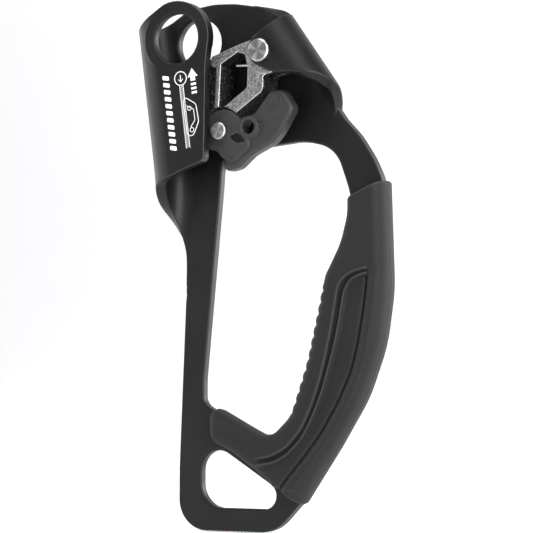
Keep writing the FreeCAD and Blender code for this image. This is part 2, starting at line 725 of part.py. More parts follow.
def face_radius(below):
    for (angle0, radius0), (angle1, radius1) in zip(CAM_FACE, CAM_FACE[1:]):
        if below <= angle1:
            return radius0 + (radius1 - radius0) * (below - angle0) / (angle1 - angle0)
    return CAM_FACE[-1][1]


def cam_block_outline():
    root = value("tooth_tall")
    face = [polar(face_radius(angle) - root, angle) + (60,) for angle in CAM_FACE_STATIONS]
    face[0] = face[0][:2] + (1.2,)
    face[-1] = face[-1][:2] + (2.0,)
    return face + BLOCK_REST


def tooth_row_outline(start):
    """Saw-tooth outline of one row that starts at this angle."""
    root = value("tooth_tall")
    points = []
    angle = start
    while angle + TOOTH_PITCH * 0.5 < TOOTH_LIMIT:
        tip = angle + TOOTH_TIP * TOOTH_PITCH
        foot = angle + TOOTH_PITCH * TOOTH_FOOT
        points += [polar(face_radius(angle) - root, angle),
                   polar(face_radius(tip), tip),
                   polar(face_radius(foot) - root, foot)]
        angle += TOOTH_PITCH
    points.append(polar(face_radius(angle) - root - TOOTH_ROOT_DEPTH,
                        angle - 0.3 * TOOTH_PITCH))
    points.append(polar(face_radius(start) - root - TOOTH_ROOT_DEPTH, start + 0.3))
    return points


def collar_outline():
    """Arc and chord on the side away from the ear's fold."""
    radius = value("collar_rad")
    start, middle, end = [
        Vector(pivot_x + radius * math.cos(math.radians(angle)),
               pivot_z + radius * math.sin(math.radians(angle)), 0)
        for angle in COLLAR_ANGLES]
    return [Part.Arc(start, middle, end), Part.LineSegment(end, start)]


def build_cam():
    cam = doc.addObject("PartDesign::Body", "cam")
    pad(cam, "cam_block", rounded(cam_block_outline()), "sizes.nose_back", "sizes.nose_front")
    pad(cam, "cam_rims", rounded(RIMS), "sizes.cam_back", "sizes.cam_front")
    round_feature(pad, cam, "cam_hub", AXLE_AT, "sizes.hub_rad",
                  "sizes.cam_back", "sizes.cam_front")
    pad(cam, "cam_collar", collar_outline(),
        "sizes.cam_back + sizes.collar_inset", "sizes.cam_front + sizes.collar_proud")
    pocket(cam, "cam_window", rounded(WINDOW), CLEAR_FRONT, CLEAR_BACK)
    # every other row is staggered by half a pitch
    for k, (front, back) in enumerate(TOOTH_ROWS):
        start = TOOTH_FIRST + (0.5 * TOOTH_PITCH if k % 2 else 0.0)
        pad(cam, "cam_teeth_%d" % (k + 1), rounded(tooth_row_outline(start)), back, front)
    round_feature(pocket, cam, "cam_catch_recess", RIVET_AT, "sizes.recess_rad",
                  CLEAR_FRONT, "sizes.recess_floor")
    round_feature(pocket, cam, "cam_axle_bore", AXLE_AT, "sizes.axle_rad + sizes.run_gap",
                  CLEAR_FRONT, CLEAR_BACK)
    round_feature(pocket, cam, "cam_rivet_bore", RIVET_AT, "sizes.rivet_rad + sizes.fit_gap",
                  CLEAR_FRONT, CLEAR_BACK)
    pocket(cam, "cam_spring_slot", rounded(SPRING_SLOT), SLOT_FRONT, SLOT_BACK)
    return cam


# ---------------------------------------------------------------- safety catch
CATCH_PLATE = [
    (9.0, -34.6, 6.5), (12.0, -27.3, 6.0), (20.5, -26.9, 6.0), (24.6, -30.6, 1.5),
    (27.4, -31.0), (28.2, -41.0), (22.0, -46.5, 3), (17.3, -44.5, 2.2),
    (15.2, -42.0, 2.0), (9.6, -40.6, 4.0),
]
CATCH_ARM = [
    (24.8, -30.2, 2.0), (30.2, -28.4, 2.5), (36.2, -20.9, 3.2), (41.6, -20.4, 3.6),
    (46.2, -27.6, 3.2), (40.7, -36.3, 5), (37.4, -39.8, 4), (28.6, -43.9, 12),
    (23.3, -48.4, 4.5), (17.2, -49.8, 3.0), (16.9, -44.2, 2.5), (20.6, -43.9, 1.5),
    (25.6, -39.6, 1.5), (26.4, -34.6, 1.0),
]
# crescent slot beside the ring
CRESCENT = [(19.6, -36.9, 0.6), (23.4, -35.7, 1.5), (25.6, -36.9, 0.6),
            (26.9, -38.9, 0.4), (23.2, -39.4, 2)]
CRESCENT_FLOOR = "10.8"                    # depth
HOLLOW_FLOOR, HOLLOW_BACK = "11.6", "8.5"  # depths


def build_catch():
    catch = doc.addObject("PartDesign::Body", "safety_catch")
    arm = pad(catch, "catch_arm", rounded(CATCH_ARM),
              "sizes.catch_back", "sizes.catch_front - sizes.arm_inset")
    arm_front_y = -(value("catch_front") - value("arm_inset"))
    fillet = catch.newObject("PartDesign::Fillet", "catch_arm_soft_edge")
    fillet.Base = (arm, edges_facing_y(arm, arm_front_y))
    # the edge stays sharp if none of the radii fits
    if not use_first_radius(fillet, (1.5, 1.2, 0.9, 0.7, 0.5)):
        catch.removeObject(fillet)
        doc.removeObject(fillet.Name)
        catch.Tip = arm
        doc.recompute()
    pad(catch, "catch_pivot_plate", rounded(CATCH_PLATE),
        "sizes.catch_web", "sizes.catch_front")
    round_feature(pad, catch, "catch_ring", RING_AT, "sizes.ring_rad",
                  "sizes.catch_back + sizes.ring_inset",
                  "sizes.catch_front + sizes.ring_proud")
    round_feature(pocket, catch, "catch_cord_hole", RING_AT, "sizes.ring_hole_rad",
                  CLEAR_FRONT, CLEAR_BACK)
    round_feature(pocket, catch, "catch_rivet_bore", RIVET_AT,
                  "sizes.rivet_rad + sizes.run_gap", CLEAR_FRONT, CLEAR_BACK)
    # hollow behind the pivot plate for the small spring
    round_feature(pocket, catch, "catch_spring_recess", RIVET_AT, "sizes.hollow_rad",
                  HOLLOW_FLOOR, HOLLOW_BACK)
    pocket(catch, "catch_crescent", rounded(CRESCENT), CLEAR_FRONT, CRESCENT_FLOOR)
    return catch


# ---------------------------------------------------------------- axle and rivet
def build_axle():
    tail_y = "sizes.plate_thick + sizes.washer_thick"
    return fuse("cam_axle", [
        cylinder("axle_shank", AXLE_AT, FLAP_Y + " - sizes.shank_overlap", "sizes.axle_rad",
                 "sizes.channel_gap + 2 * sizes.plate_thick + sizes.washer_thick"
                 " + 2 * sizes.shank_overlap"),
        cylinder("axle_head", AXLE_AT, FLAP_Y + " - sizes.axle_head_tall + sizes.axle_bevel",
                 "sizes.axle_head_rad", "sizes.axle_head_tall - sizes.axle_bevel"),
        cone("axle_head_bevel", AXLE_AT, FLAP_Y + " - sizes.axle_head_tall",
             "sizes.axle_head_rad - sizes.axle_bevel", "sizes.axle_bevel",
             "sizes.axle_head_rad"),
        cylinder("axle_tail", AXLE_AT, tail_y, "sizes.axle_tail_rad",
                 "sizes.axle_tail_tall - sizes.axle_tail_bevel_tall"),
        cone("axle_tail_bevel", AXLE_AT,
             tail_y + " + sizes.axle_tail_tall - sizes.axle_tail_bevel_tall",
             "sizes.axle_tail_rad", "sizes.axle_tail_bevel_tall",
             "sizes.axle_tail_rad - sizes.axle_tail_bevel_in"),
    ], refine=True)


def build_washer():
    disc = cylinder("washer_disc", AXLE_AT, "sizes.plate_thick",
                    "sizes.washer_rad", "sizes.washer_thick")
    hole = cylinder("washer_hole", AXLE_AT, "sizes.plate_thick - 1",
                    "sizes.axle_rad + sizes.fit_gap", "sizes.washer_thick + 2")
    return cut("axle_washer", disc, hole)


def build_rivet():
    return fuse("catch_rivet", [
        cylinder("rivet_shank", RIVET_AT, "-sizes.catch_front - sizes.shank_overlap",
                 "sizes.rivet_rad",
                 "sizes.catch_front - sizes.nose_back + 2 * sizes.shank_overlap"),
        cylinder("rivet_head", RIVET_AT,
                 "-sizes.catch_front - sizes.rivet_head_tall + sizes.rivet_bevel",
                 "sizes.rivet_head_rad",
                 "sizes.rivet_head_tall - sizes.rivet_bevel - sizes.rivet_head_lift"),
        cone("rivet_head_bevel", RIVET_AT, "-sizes.catch_front - sizes.rivet_head_tall",
             "sizes.rivet_head_rad - sizes.rivet_bevel", "sizes.rivet_bevel",
             "sizes.rivet_head_rad"),
        cylinder("rivet_tail", RIVET_AT, "-sizes.nose_back", "sizes.rivet_tail_rad",
                 "sizes.rivet_tail_tall - sizes.rivet_bevel"),
        cone("rivet_tail_bevel", RIVET_AT,
             "-sizes.nose_back + sizes.rivet_tail_tall - sizes.rivet_bevel",
             "sizes.rivet_tail_rad", "sizes.rivet_bevel",
             "sizes.rivet_tail_rad - sizes.rivet_tail_bevel_in"),
    ], refine=True)


# ---------------------------------------------------------------- springs
COIL_FRONT_Y = -8.9        # front end of the cam spring's coil
COIL_START_ANGLE = 260.0   # angle of that end round the axle
COIL_EXTRA_TURNS = 0.08
FRONT_LEG, BACK_LEG = 13.5, 3.2
POINTS_PER_TURN = 24


def build_cam_spring():
    """Torsion spring: a helix about Y with a straight leg at each end."""
    mean, pitch = value("spring_coil_rad"), value("spring_pitch")
    turns = value("spring_turns") + COIL_EXTRA_TURNS
    count = int(turns * POINTS_PER_TURN)
    points = []
    for i in range(count + 1):
        angle = math.radians(COIL_START_ANGLE) + 2 * math.pi * turns * i / count
        points.append(Vector(pivot_x + mean * math.cos(angle),
                             COIL_FRONT_Y + pitch * turns * i / count,
                             pivot_z + mean * math.sin(angle)))
    front_way = points[0] - points[1]
    back_way = points[-1] - points[-2]
    for way in (front_way, back_way):
        way.y = 0
        way.normalize()
    coil = Part.BSplineCurve()
    coil.interpolate(Points=points, InitialTangent=front_way * -1.0, FinalTangent=back_way)
    start = points[0] + front_way * FRONT_LEG
    path = Part.Wire([Part.makeLine(start, points[0]), coil.toShape(),
                      Part.makeLine(points[-1], points[-1] + back_way * BACK_LEG)])
    section = Part.Wire([Part.Circle(start, front_way, value("spring_wire_rad")).toShape()])
    return fixed_shape("cam_spring", path.makePipeShell([section], True, True))


def build_catch_spring():
    """Open ring of wire in the hollow behind the catch's pivot plate."""
    ring = doc.addObject("Part::Torus", "catch_spring")
    ring.setExpression("Radius1", "sizes.small_coil_rad")
    ring.setExpression("Radius2", "sizes.small_wire_rad")
    ring.Angle3 = 312
    return place_on_y(ring, RIVET_AT, "-(sizes.recess_floor + sizes.small_spring_lift)")


# ---------------------------------------------------------------- pieces and files
handle_cuts = [prism(name, outline, "5", "sizes.plate_thick + 10")
               for name, outline in (("frame_finger_opening", FINGER_HOLE),
                                     ("frame_lower_eye", LOWER_EYE))]
pieces = [
    build_frame(handle_cuts),
    build_grip(handle_cuts),
    build_cam(),
    build_axle(),
    build_washer(),
    build_cam_spring(),
    build_catch(),
    build_rivet(),
    build_catch_spring(),
]
doc.recompute()

failed = [item.Name + " " + ",".join(item.State) for item in doc.Objects
          if any(state in item.State for state in ("Invalid", "Error"))]
if failed:
    raise RuntimeError("failed objects: " + "; ".join(failed))
for piece in pieces:
    if piece.Shape.isNull() or not piece.Shape.isValid():
        raise RuntimeError("bad shape: " + piece.Label)
    if len(piece.Shape.Solids) != 1:
        raise RuntimeError("%s has %d solids" % (piece.Label, len(piece.Shape.Solids)))
for piece in pieces:
    piece.Shape.exportStep(os.path.join("parts", piece.Label + ".step"))
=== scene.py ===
"""A hand-held rope clamp: folded sheet frame, toothed cam, safety catch and rubber grip.

It stands upright in the XZ plane with its front facing -Y. The cam and the catch are near
z = 0, and the grip runs down the +X side to z = -0.175 m. Outlines are (x, z) in
millimetres; materials, lights and camera are in metres.
"""
import bpy
import bmesh
import math
import numpy as np
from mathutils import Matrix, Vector


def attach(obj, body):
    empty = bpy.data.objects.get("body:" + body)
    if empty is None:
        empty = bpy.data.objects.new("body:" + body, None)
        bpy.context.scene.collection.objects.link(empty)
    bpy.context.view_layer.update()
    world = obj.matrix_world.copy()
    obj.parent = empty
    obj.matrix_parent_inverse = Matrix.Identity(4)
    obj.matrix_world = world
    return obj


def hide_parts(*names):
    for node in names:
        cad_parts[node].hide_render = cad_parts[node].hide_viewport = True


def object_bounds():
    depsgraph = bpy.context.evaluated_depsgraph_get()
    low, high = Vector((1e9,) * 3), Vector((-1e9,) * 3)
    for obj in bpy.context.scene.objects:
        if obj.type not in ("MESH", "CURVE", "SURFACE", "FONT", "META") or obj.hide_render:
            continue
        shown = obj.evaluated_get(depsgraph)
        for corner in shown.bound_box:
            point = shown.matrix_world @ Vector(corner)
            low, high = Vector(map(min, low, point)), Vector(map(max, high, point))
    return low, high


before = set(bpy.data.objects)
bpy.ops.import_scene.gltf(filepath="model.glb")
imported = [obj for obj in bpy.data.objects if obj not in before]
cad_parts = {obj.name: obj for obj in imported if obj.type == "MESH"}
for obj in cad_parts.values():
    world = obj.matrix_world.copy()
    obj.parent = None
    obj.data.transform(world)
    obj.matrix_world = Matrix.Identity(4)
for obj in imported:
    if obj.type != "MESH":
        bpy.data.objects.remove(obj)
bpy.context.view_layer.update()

MM = 0.001
scene = bpy.context.scene
scene.view_settings.view_transform = "Standard"
scene.view_settings.look = "None"


# ------------------------------------------------------------------ shader helpers
def feed(socket, value):
    """Links a socket into an input, or sets the input to a plain value."""
    if isinstance(value, bpy.types.NodeSocket):
        socket.id_data.links.new(value, socket)
    else:
        socket.default_value = value


def grey(level):
    """A faintly cool grey as RGBA."""
    return (level, level, level * 1.02, 1.0)


class Shader:
    """A Principled material with short methods that add nodes and return their outputs."""

    def __init__(self, name):
        self.material = bpy.data.materials.new(name)
        self.material.use_nodes = True
        self.tree = self.material.node_tree
        self.tree.nodes.clear()
        output = self.node("ShaderNodeOutputMaterial")
        self.principled = self.node("ShaderNodeBsdfPrincipled")
        feed(output.inputs["Surface"], self.principled.outputs["BSDF"])
        self.coord = self.node("ShaderNodeTexCoord").outputs["Object"]

    def node(self, kind, inputs=None, **attrs):
        node = self.tree.nodes.new(kind)
        for key, value in attrs.items():
            setattr(node, key, value)
        for key, value in (inputs or {}).items():
            feed(node.inputs[key], value)
        return node

    def surface(self, values):
        """Feeds the Principled inputs and returns the finished material."""
        for key, value in values.items():
            feed(self.principled.inputs[key], value)
        return self.material

    def math(self, operation, first, second=0.0):
        return self.node("ShaderNodeMath", {0: first, 1: second}, operation=operation).outputs[0]

    def mul(self, first, second):
        return self.math("MULTIPLY", first, second)

    def add(self, first, second):
        return self.math("ADD", first, second)

    def noise(self, size, detail=3.0, rough=0.55, coord=None, distort=0.0):
        """Noise whose features are about size metres across."""
        return self.node("ShaderNodeTexNoise", {
            "Scale": 1.0 / size, "Detail": detail, "Roughness": rough,
            "Distortion": distort, "Vector": coord or self.coord}).outputs[0]

    def voronoi(self, size, out="Distance"):
        return self.node("ShaderNodeTexVoronoi",
                         {"Scale": 1.0 / size, "Vector": self.coord}).outputs[out]

    def remap(self, value, span, to=(0.0, 1.0), smooth=False):
        """Maps the span of input values to another range, clamped at both ends."""
        return self.node("ShaderNodeMapRange", {
            "Value": value, "From Min": span[0], "From Max": span[1],
            "To Min": to[0], "To Max": to[1]},
            interpolation_type="SMOOTHSTEP" if smooth else "LINEAR", clamp=True).outputs[0]

    def mix(self, mask, under, over, strength=None):
        """Goes from under to over as mask goes 0 to 1; plain numbers are grey levels."""
        if strength is not None:
            mask = self.mul(mask, strength)
        under, over = (shade if isinstance(shade, bpy.types.NodeSocket) else grey(shade)
                       for shade in (under, over))
        return self.node("ShaderNodeMix", {0: mask, 6: under, 7: over},
                         data_type="RGBA").outputs[2]

    def axis(self, name, vector=None):
        return self.node("ShaderNodeSeparateXYZ", {0: vector or self.coord}).outputs[name]

    def bevel(self, radius):
        return self.node("ShaderNodeBevel", {"Radius": radius}, samples=6).outputs[0]

    def edges(self, radius, span):
        """1 along the edges, 0 on the faces between them."""
        rounded_normal = self.bevel(radius)
        normal = self.node("ShaderNodeNewGeometry").outputs["Normal"]
        dot = self.node("ShaderNodeVectorMath", {0: rounded_normal, 1: normal},
                        operation="DOT_PRODUCT").outputs["Value"]
        return self.remap(self.math("SUBTRACT", 1.0, dot), span, smooth=True)

    def bump(self, height, distance, strength, normal=None):
        inputs = {"Strength": strength, "Distance": distance, "Height": height}
        if normal is not None:
            inputs["Normal"] = normal
        return self.node("ShaderNodeBump", inputs).outputs[0]


# ------------------------------------------------------------------ materials
def anodised():
    """Black satin anodising over rolled and folded aluminium sheet."""
    m = Shader("black_anodised_sheet")
    grain = m.noise(size=0.00035, detail=4, rough=0.6)
    cloud = m.noise(size=0.018, rough=0.5)
    drawn_out = m.node("ShaderNodeMapping", {"Scale": (1.0, 1.0, 0.18), "Vector": m.coord})
    rolling = m.noise(size=0.0016, rough=0.6, coord=drawn_out.outputs[0])
    wear = m.noise(size=0.0011, detail=4, rough=0.7)
    # edges paler all round: edge wear mixed with a painted edge highlight
    edge_wear_and_highlight = m.mul(m.edges(radius=0.0008, span=(0.03, 0.34)),
                 m.remap(wear, span=(0.36, 0.62), to=(0.35, 1.0)))
    base = m.mix(m.remap(cloud, span=(0.3, 0.7)), under=0.0036, over=0.0056)
    base = m.mix(m.remap(grain, span=(0.52, 0.72)), base, over=0.022, strength=0.50)
    base = m.mix(edge_wear_and_highlight, base, over=0.17, strength=0.85)
    grain_swing = 0.16      # roughness added across the full range of the grain
    roughness = m.add(m.remap(cloud, span=(0.3, 0.7), to=(0.37, 0.45)),
                      m.mul(m.math("SUBTRACT", grain, 0.5), grain_swing))
    normal = m.bump(grain, distance=0.00003, strength=0.55, normal=m.bevel(radius=0.0007))
    normal = m.bump(rolling, distance=0.00004, strength=0.22, normal=normal)
    return m.surface({"Base Color": base, "Metallic": 0.0, "IOR": 1.45,
                      "Specular IOR Level": 0.30, "Roughness": roughness, "Normal": normal})


def rubber():
    """Matte moulded grip with a fine spark-eroded texture."""
    m = Shader("moulded_grip_rubber")
    fine = m.noise(size=0.00028, detail=5, rough=0.65)
    pits = m.voronoi(size=0.00055)
    cloud = m.noise(size=0.022, rough=0.5)
    edge = m.edges(radius=0.0013, span=(0.02, 0.35))
    base = m.mix(m.remap(cloud, span=(0.3, 0.7)), under=0.0048, over=0.0068)
    base = m.mix(m.remap(fine, span=(0.35, 0.7)), base, over=0.013, strength=0.25)
    base = m.mix(edge, base, over=0.038, strength=0.30)
    # crests paler, as rub wear with a painted highlight; hollows darker, as painted shade
    point = m.node("ShaderNodeNewGeometry").outputs["Pointiness"]
    base = m.mix(m.remap(point, span=(0.505, 0.545)), base, over=0.034, strength=0.75)
    base = m.mix(m.remap(point, span=(0.492, 0.455), to=(0.0, 0.85)), base, over=0.0018)
    fine_share, pit_share = 0.7, 0.5
    height = m.add(m.mul(fine, fine_share), m.mul(pits, pit_share))
    return m.surface({
        "Base Color": base, "Roughness": m.remap(fine, span=(0.3, 0.7), to=(0.62, 0.80)),
        "Specular IOR Level": 0.30, "Sheen Weight": 0.02, "Sheen Roughness": 0.45,
        "Normal": m.bump(height, distance=0.00006, strength=0.5)})


def cast_steel():
    """Plated cast steel with painted light: sand-sparkled front faces painted lit, polished rims
    under a painted highlight, and painted shade on the walls, the deeper faces and the speckled end
    toward -X in the flap's shadow."""
    m = Shader("plated_cast_steel")
    sand = m.axis("X", m.voronoi(size=0.00034, out="Color"))
    speck = m.noise(size=0.00030, detail=4, rough=0.7)
    cloud = m.noise(size=0.006, rough=0.6)
    edge = m.edges(radius=0.00075, span=(0.03, 0.30))
    # painted lit: faces turned to -Y, right of a wavering line in x (the edge of the flap's painted
    # shadow) and forward of a plane in y; the rest gets painted shade
    normal_y = m.axis("Y", m.node("ShaderNodeTexCoord").outputs["Normal"])
    front = m.remap(normal_y, span=(-0.45, -0.85))
    x = m.axis("X")
    y = m.axis("Y")
    waver = 0.0016
    wobble = m.mul(m.math("SUBTRACT", cloud, 0.5), waver)
    clear_of_flap_shadow = m.remap(m.add(x, wobble), span=(0.0120, 0.0132))
    clear_of_recess_shade = m.remap(y, span=(-0.0108, -0.0116))
    lit = m.mul(m.mul(front, clear_of_flap_shadow), clear_of_recess_shade)
    # colour of the painted-lit faces: bright sand sparkle
    lit_sparkle = m.mix(m.remap(sand, span=(0.15, 0.95)), under=0.10, over=0.42)
    lit_sparkle = m.mix(m.remap(cloud, span=(0.35, 0.7)), lit_sparkle, over=0.15, strength=0.35)
    # colour of the painted shade: near black with a few bright sand specks
    shaded_speckle = m.mix(m.remap(sand, span=(0.86, 0.97)), under=0.012, over=0.34, strength=0.8)
    # polished rims with a painted highlight, dimmed toward the back as painted shade
    rim_polish_and_highlight = m.mul(edge, m.remap(y, span=(-0.0098, -0.0112), to=(0.12, 1.0)))
    edge_smoothing, grain_share = 0.75, 0.6
    height = m.add(m.mul(speck, grain_share), m.mul(m.voronoi(size=0.0005), grain_share))
    return m.surface({
        "Base Color": m.mix(rim_polish_and_highlight, m.mix(lit, shaded_speckle, lit_sparkle), over=0.80),
        "Metallic": m.remap(lit, span=(0.0, 1.0), to=(0.45, 0.85)),
        "Roughness": m.mix(rim_polish_and_highlight, m.remap(speck, span=(0.3, 0.7), to=(0.42, 0.62)), over=0.25),
        "Normal": m.bump(height, distance=0.00012,
                         strength=m.mul(m.math("SUBTRACT", 1.0, edge), edge_smoothing),
                         normal=m.bevel(radius=0.0006))})


def turned_steel(name, centre, ring_pitch, glint_level):
    """Turned and polished head: rings about centre, with streaks of painted highlight between them.
    """
    m = Shader(name)
    offset = m.node("ShaderNodeVectorMath", {0: m.coord, 1: centre},
                    operation="SUBTRACT").outputs[0]
    x, z = m.axis("X", offset), m.axis("Z", offset)
    radius = m.math("SQRT", m.add(m.mul(x, x), m.mul(z, z)))
    rings = m.math("SINE", m.mul(radius, 2 * math.pi / ring_pitch))
    # painted highlight: four pale glint streaks round the head, in the colour
    glint_turn, glint_count = 0.45, 4.0
    angle = m.add(m.math("ARCTAN2", z, x), glint_turn)
    painted_glint = m.remap(m.math("COSINE", m.mul(angle, glint_count)), span=(-0.2, 1.0), smooth=True)
    blot = m.noise(size=0.0012, detail=4, rough=0.7)
    scratch = m.noise(size=0.0002, rough=0.6)
    base = m.mix(painted_glint, under=0.30, over=glint_level)
    base = m.mix(m.remap(blot, span=(0.4, 0.7)), base, over=0.24, strength=0.35)
    base = m.mix(m.edges(radius=0.0005, span=(0.03, 0.30)), base, over=0.90)
    tangent = m.node("ShaderNodeTangent", direction_type="RADIAL", axis="Y").outputs[0]
    ring_share, scratch_share = 0.35, 0.5
    height = m.add(m.mul(rings, ring_share), m.mul(scratch, scratch_share))
    return m.surface({
        "Base Color": base, "Metallic": 1.0,
        "Roughness": m.remap(scratch, span=(0.3, 0.7), to=(0.24, 0.40)),
        "Anisotropic": 0.55, "Tangent": tangent,
        "Normal": m.bump(height, distance=0.00002, strength=0.5,
                         normal=m.bevel(radius=0.0003))})


def spring_steel():
    """Bright drawn wire."""
    m = Shader("drawn_spring_wire")
    drawing = m.noise(size=0.00022, rough=0.6)
    cloud = m.noise(size=0.0016, rough=0.6)
    return m.surface({
        "Base Color": m.mix(m.remap(cloud, span=(0.35, 0.7)), under=0.62, over=0.40),
        "Metallic": 1.0, "Roughness": m.remap(drawing, span=(0.3, 0.7), to=(0.20, 0.38)),
        "Normal": m.bump(drawing, distance=0.00002, strength=0.4)})


def moulded_plastic():
    """Glass-filled nylon of the safety catch, a little greyer than the frame."""
    m = Shader("moulded_catch_nylon")
    fine = m.noise(size=0.00040, detail=5, rough=0.6)
    flow = m.noise(size=0.0045, distort=0.4)
    edge = m.edges(radius=0.0012, span=(0.02, 0.35))
    base = m.mix(m.remap(flow, span=(0.3, 0.7)), under=0.015, over=0.022)
    base = m.mix(m.remap(fine, span=(0.45, 0.75)), base, over=0.055, strength=0.3)
    base = m.mix(edge, base, over=0.075, strength=0.30)
    normal = m.bump(fine, distance=0.00005, strength=0.5, normal=m.bevel(radius=0.0011))
    return m.surface({
        "Base Color": base, "Roughness": m.remap(flow, span=(0.3, 0.7), to=(0.44, 0.56)),
        "Specular IOR Level": 0.36,
        "Normal": m.bump(flow, distance=0.0002, strength=0.12, normal=normal)})


def white_ink():
    """Pad-printed white ink, slightly worn through on the grain."""
    m = Shader("printed_white_ink")
    grain = m.noise(size=0.00045, detail=4, rough=0.7)
    cloud = m.noise(size=0.004, rough=0.6)
    base = m.mix(m.remap(grain, span=(0.25, 0.52)), under=0.42, over=0.80)
    base = m.mix(m.remap(cloud, span=(0.5, 0.75)), base, over=0.50, strength=0.25)
    return m.surface({
        "Base Color": base, "Roughness": m.remap(grain, span=(0.3, 0.7), to=(0.45, 0.65)),
        "Normal": m.bump(grain, distance=0.00002, strength=0.4)})


def pale_floor():
    """Near-white matte floor that glows a little."""
    m = Shader("pale_floor")
    cloud = m.noise(size=0.05, rough=0.5)
    return m.surface({
        "Base Color": m.mix(m.remap(cloud, span=(0.3, 0.7)), under=0.915, over=0.925),
        "Emission Color": (1.0, 1.0, 1.0, 1.0), "Emission Strength": 0.30,
        "Roughness": 0.85, "Specular IOR Level": 0.2})


def paint(obj, material):
    """Puts one material in every slot of the object."""
    slots = obj.data.materials
    if not slots:
        slots.append(material)
    for i in range(len(slots)):
        slots[i] = material


AXLE_CENTRE = (0.0353, 0.0, -0.00675)
RIVET_CENTRE = (0.0162, 0.0, -0.03465)
NYLON_NODE = "safety_catch"
for node_name, finish in [
    ("frame", anodised()),
    ("cam", cast_steel()),
    ("cam_axle", turned_steel("turned_axle_head", AXLE_CENTRE, ring_pitch=0.00028, glint_level=0.62)),
    ("catch_rivet", turned_steel("turned_catch_rivet", RIVET_CENTRE,
                                 ring_pitch=0.00022, glint_level=0.55)),
    ("axle_washer", turned_steel("turned_washer", AXLE_CENTRE, ring_pitch=0.0003, glint_level=0.5)),
    ("cam_spring", spring_steel()),
    ("catch_spring", spring_steel()),
]:
    paint(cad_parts[node_name], finish)
NYLON = moulded_plastic()
paint(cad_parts[NYLON_NODE], NYLON)
INK = white_ink()
RUBBER = rubber()


# ------------------------------------------------------------------ plane curves
def rounded(points, step=0.6):
    """Closed polyline of lines and tangent arcs from (x, z, radius); radius may be left out."""
    count = len(points)
    out = []
    for i in range(count):
        corner = np.array(points[i][:2], float)
        to_last = np.array(points[i - 1][:2], float) - corner
        to_next = np.array(points[(i + 1) % count][:2], float) - corner
        radius = points[i][2] if len(points[i]) > 2 else 0.0
        last_length, next_length = np.linalg.norm(to_last), np.linalg.norm(to_next)
        to_last, to_next = to_last / last_length, to_next / next_length
        angle = math.acos(max(-1.0, min(1.0, float(to_last @ to_next))))
        if radius <= 0 or angle > math.pi - 1e-3:
            out.append(corner)
            continue
        # the arc may use up just under half of either side
        tangent = radius / math.tan(angle / 2)
        limit = 0.498 * min(last_length, next_length)
        if tangent > limit:
            tangent = limit
            radius = tangent * math.tan(angle / 2)
        bisector = (to_last + to_next) / np.linalg.norm(to_last + to_next)
        centre = corner + bisector * (radius / math.sin(angle / 2))
        first = corner + to_last * tangent - centre
        last = corner + to_next * tangent - centre
        start, end = math.atan2(first[1], first[0]), math.atan2(last[1], last[0])
        turn = (end - start + math.pi) % (2 * math.pi) - math.pi
        pieces = max(2, int(abs(turn) * radius / step) + 1)
        for j in range(pieces + 1):
            t = start + turn * j / pieces
            out.append(centre + radius * np.array([math.cos(t), math.sin(t)]))
    return np.array(out)


def resample(line, step, closed=False):
    """Evenly spaced points along a polyline, about step apart."""
    line = np.asarray(line, float)
    if closed:
        line = np.vstack([line, line[:1]])
    lengths = np.linalg.norm(np.diff(line, axis=0), axis=1)
    arc = np.concatenate([[0], np.cumsum(lengths)])
    stations = np.linspace(0, arc[-1], max(2, int(round(arc[-1] / step))) + 1)
    if closed:
        stations = stations[:-1]
    return np.column_stack([np.interp(stations, arc, line[:, 0]),
                            np.interp(stations, arc, line[:, 1])])


def smooth_line(points, rounds=30):
    """Open polyline resampled and relaxed, ends kept."""
    line = resample(points, 0.5)
    for _ in range(rounds):
        line[1:-1] = 0.25 * line[:-2] + 0.5 * line[1:-1] + 0.25 * line[2:]
    return line


def nearest(points, line, closed=False):
    """Distance, side (+1 left of travel, seen with x right and z up) and arc length
    at the nearest place on a polyline."""
    starts = line if closed else line[:-1]
    ends = np.roll(line, -1, axis=0) if closed else line[1:]
    run = ends - starts
    squared = (run ** 2).sum(1)
    start_arc = np.concatenate([[0], np.cumsum(np.sqrt(squared))])[:-1]
    distance, side, arc = np.zeros((3, len(points)))
    batch = 4000            # bounds the memory used
    for k in range(0, len(points), batch):
        some = points[k:k + batch]
        away = some[:, None, :] - starts[None]
        t = np.clip((away * run[None]).sum(2) / squared[None], 0, 1)
        foot = starts[None] + t[..., None] * run[None]
        gaps = np.linalg.norm(some[:, None, :] - foot, axis=2)
        j = gaps.argmin(1)
        i = np.arange(len(some))
        distance[k:k + batch] = gaps[i, j]
        side[k:k + batch] = np.sign(run[j, 0] * away[i, j, 1] - run[j, 1] * away[i, j, 0])
        arc[k:k + batch] = start_arc[j] + t[i, j] * np.sqrt(squared[j])
    return distance, side, arc


def inside(points, outline):
    """True for points within a closed outline, by counting crossings."""
    x, z = points[:, 0], points[:, 1]
    hit = np.zeros(len(points), bool)
    for (x0, z0), (x1, z1) in zip(outline, np.roll(outline, -1, axis=0)):
        if z0 == z1:
            continue
        crosses = (z0 > z) != (z1 > z)
        hit ^= crosses & (x < (x1 - x0) * (z - z0) / (z1 - z0) + x0)
    return hit


# ------------------------------------------------------------------ scalar fields
def ramp(value, start, end):
    """Smooth 0 to 1 between start and end."""
    t = np.clip((value - start) / (end - start), 0, 1)
    return t * t * (3 - 2 * t)


def ridge(offset, width, height):
    """Bell-shaped ridge, or a groove where height is negative."""
    return height * np.exp(-(offset / width) ** 2)


def mound(x, z, centre, widths, height):
    return height * np.exp(-(((x - centre[0]) / widths[0]) ** 2
                             + ((z - centre[1]) / widths[1]) ** 2))


def round_max(first, second, radius):
    """Intersection of two fields with a rounded corner."""
    return (np.minimum(-radius, np.maximum(first, second))
            + np.sqrt(np.maximum(first + radius, 0) ** 2 + np.maximum(second + radius, 0) ** 2))


